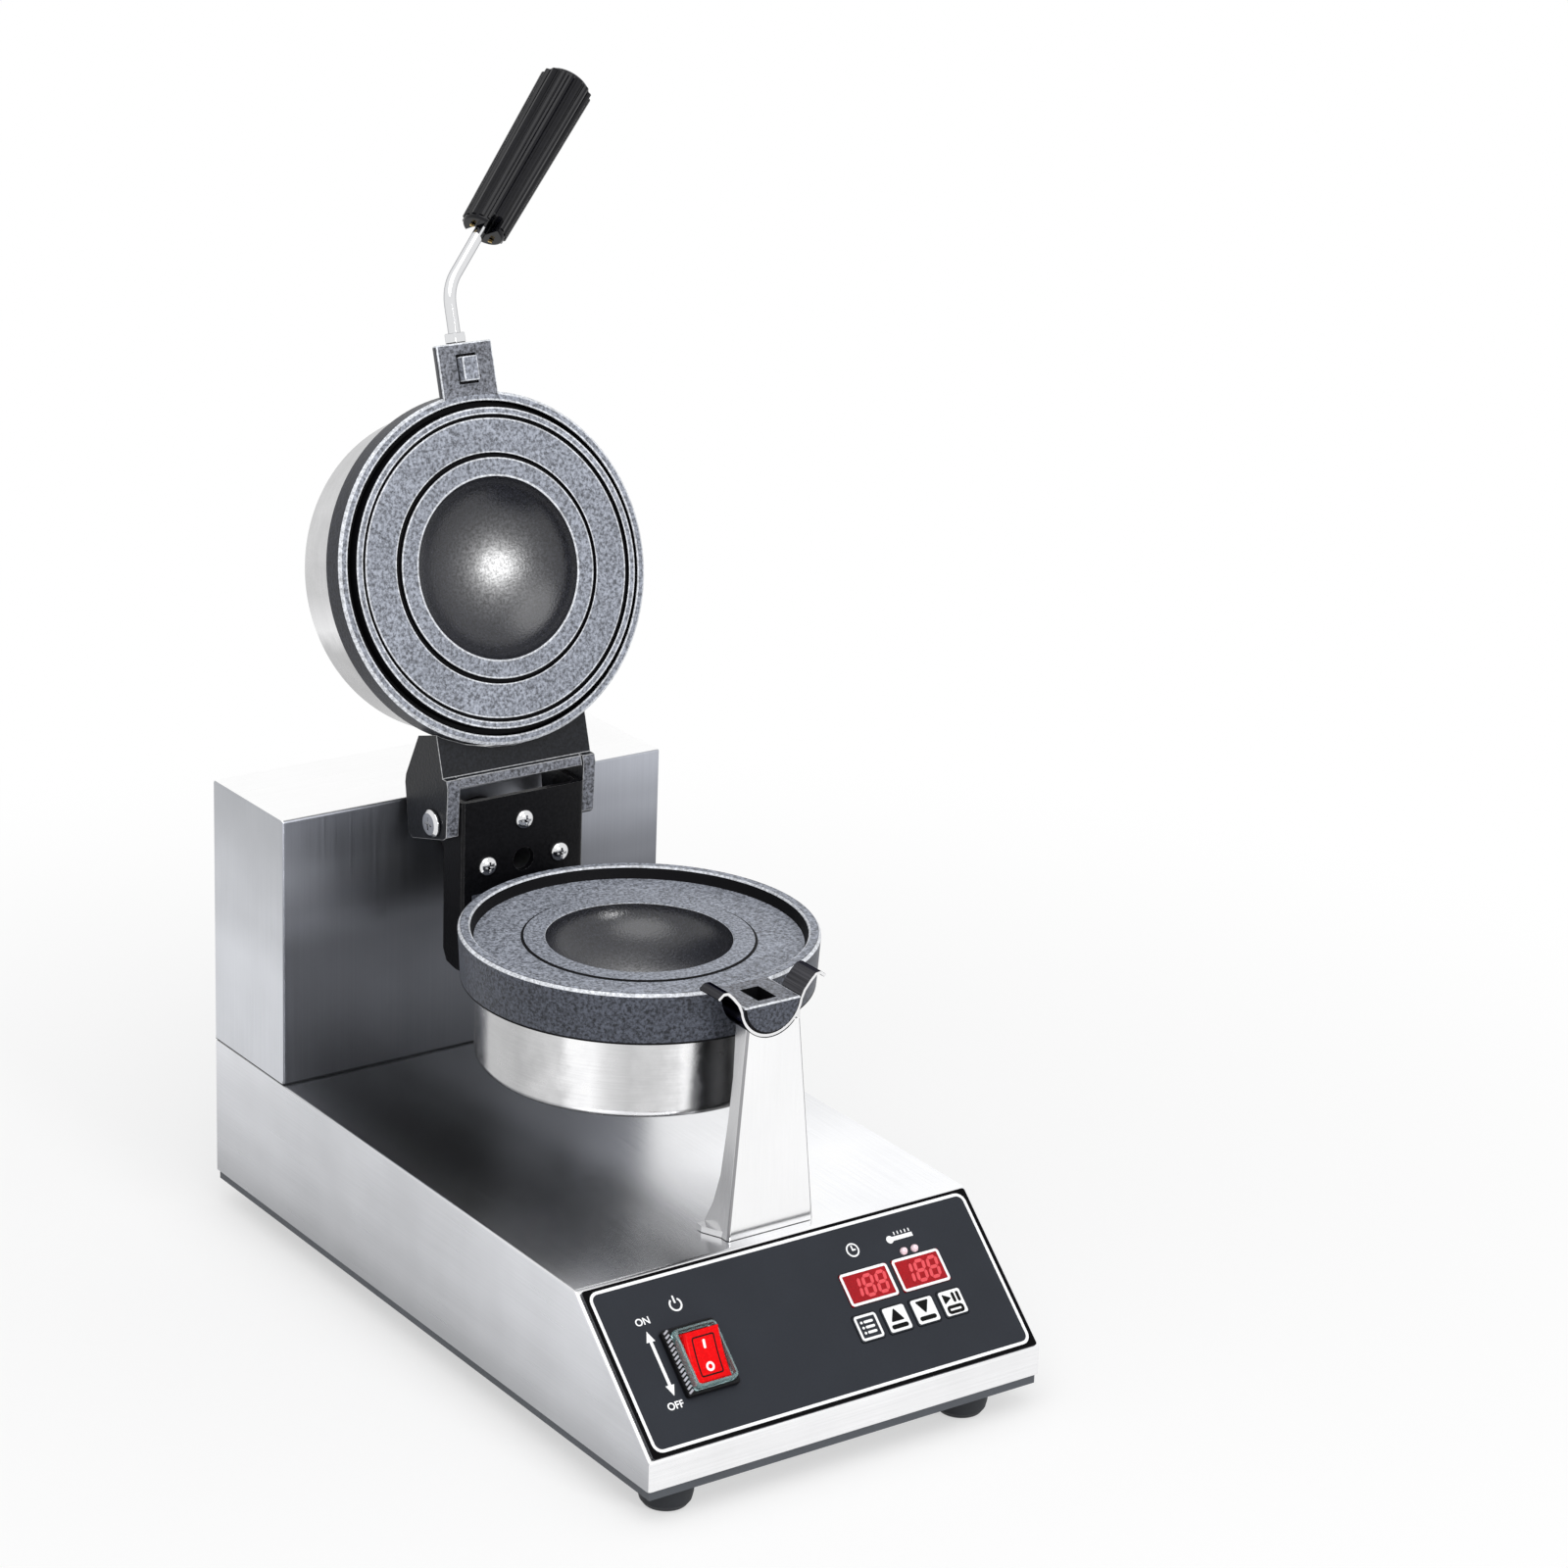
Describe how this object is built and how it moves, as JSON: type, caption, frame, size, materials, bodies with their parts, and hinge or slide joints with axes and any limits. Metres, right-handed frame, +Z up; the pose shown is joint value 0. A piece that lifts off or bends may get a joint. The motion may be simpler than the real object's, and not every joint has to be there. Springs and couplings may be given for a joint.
{
  "type": "ufo burger maker",
  "caption": "Countertop press for filled round buns: hinged cast plates with steel cups turn together above a steel housing with a sloped control panel.",
  "frame": {"origin": "on the table, below the middle of the whole object's bounding box", "axes": "+Z up, -Y towards the user and the sloped panel, +X to the user's right"},
  "size_m": [0.22, 0.4144, 0.5693],
  "materials": {
    "brushed_steel": "brushed",
    "polished_steel": "polished",
    "plain_steel": "plain machined",
    "chrome": "bright",
    "brass": "plain",
    "coated_iron": "speckled non-stick coating",
    "black_casting": "black paint",
    "grey_paint": "satin",
    "black_rubber": "matt",
    "black_plastic": "satin",
    "panel_film": "satin film with white prints",
    "red_plastic": "gloss",
    "clear_plastic": "clear",
    "lamp_lens": "clear",
    "green_board": "circuit board",
    "pale_plastic": "plain"
  },
  "bodies": {
    "base": {"base_housing": "brushed_steel", "tower_cover": "brushed_steel", "front_post": "polished_steel", "cradle": "polished_steel", "tower_bracket": "plain_steel", "bearing_bolt_left": "plain_steel", "bearing_bolt_right": "plain_steel", "post_screw_left": "plain_steel", "post_screw_right": "plain_steel", "bearing_block": "black_casting", "bottom_tray": "grey_paint", "foot_front_left": "black_rubber", "foot_front_right": "black_rubber", "foot_back_left": "black_rubber", "foot_back_right": "black_rubber", "switch_housing": "black_plastic", "cable_gland": "black_plastic", "gland_nut": "black_plastic", "control_panel": "panel_film", "time_display": "red_plastic", "temperature_display": "red_plastic", "switch_guard": "clear_plastic", "time_lamp": "lamp_lens", "heat_lamp": "lamp_lens", "display_board": "green_board", "power_board": "green_board", "terminal_block": "pale_plastic"},
    "head": {"lower_plate": "coated_iron", "lower_cup": "polished_steel", "lower_cup_screw": "plain_steel", "lower_heater": "plain_steel", "lower_probe": "brass", "yoke_bracket": "black_casting", "yoke_screw_left": "chrome", "yoke_screw_right": "chrome", "yoke_screw_top": "chrome", "yoke_screw_bottom": "chrome", "head_shaft": "plain_steel", "shaft_collar": "plain_steel", "stop_pin": "plain_steel"},
    "lid": {"upper_plate": "coated_iron", "upper_cup": "polished_steel", "upper_cup_screw": "plain_steel", "upper_heater": "plain_steel", "upper_probe": "brass", "hinge_casting": "coated_iron", "hinge_bolt_left": "chrome", "hinge_bolt_right": "chrome", "lock_nut": "chrome", "handle_rod": "chrome", "handle_grip": "black_plastic", "grip_screw_a": "brass", "grip_screw_b": "brass"},
    "rocker": {"rocker": "red_plastic"},
    "key_1": {"key_1": "panel_film"},
    "key_2": {"key_2": "panel_film"},
    "key_3": {"key_3": "panel_film"},
    "key_4": {"key_4": "panel_film"}
  },
  "joints": [
    {"name": "head_turn", "type": "hinge", "parent": "base", "child": "head", "pos_m": [0, -0.0255, 0.204], "axis": [0, 1, 0], "range_deg": [-30, 30]},
    {"name": "lid_hinge", "type": "hinge", "parent": "head", "child": "lid", "pos_m": [0, 0.093, 0.2255], "axis": [1, 0, 0], "range_deg": [0, 107]},
    {"name": "rocker_tip", "type": "hinge", "parent": "base", "child": "rocker", "pos_m": [-0.0645, -0.18101, 0.06215], "axis": [-1, 0, 0], "range_deg": [0, 32]},
    {"name": "key_1_press", "type": "slide", "parent": "base", "child": "key_1", "axis": [0, 0.676, -0.7369], "range_m": [0, 0.0005], "stiffness_N_per_m": 400, "springref_m": -0.0002},
    {"name": "key_2_press", "type": "slide", "parent": "base", "child": "key_2", "axis": [0, 0.676, -0.7369], "range_m": [0, 0.0005], "stiffness_N_per_m": 400, "springref_m": -0.0002},
    {"name": "key_3_press", "type": "slide", "parent": "base", "child": "key_3", "axis": [0, 0.676, -0.7369], "range_m": [0, 0.0005], "stiffness_N_per_m": 400, "springref_m": -0.0002},
    {"name": "key_4_press", "type": "slide", "parent": "base", "child": "key_4", "axis": [0, 0.676, -0.7369], "range_m": [0, 0.0005], "stiffness_N_per_m": 400, "springref_m": -0.0002}
  ]
}
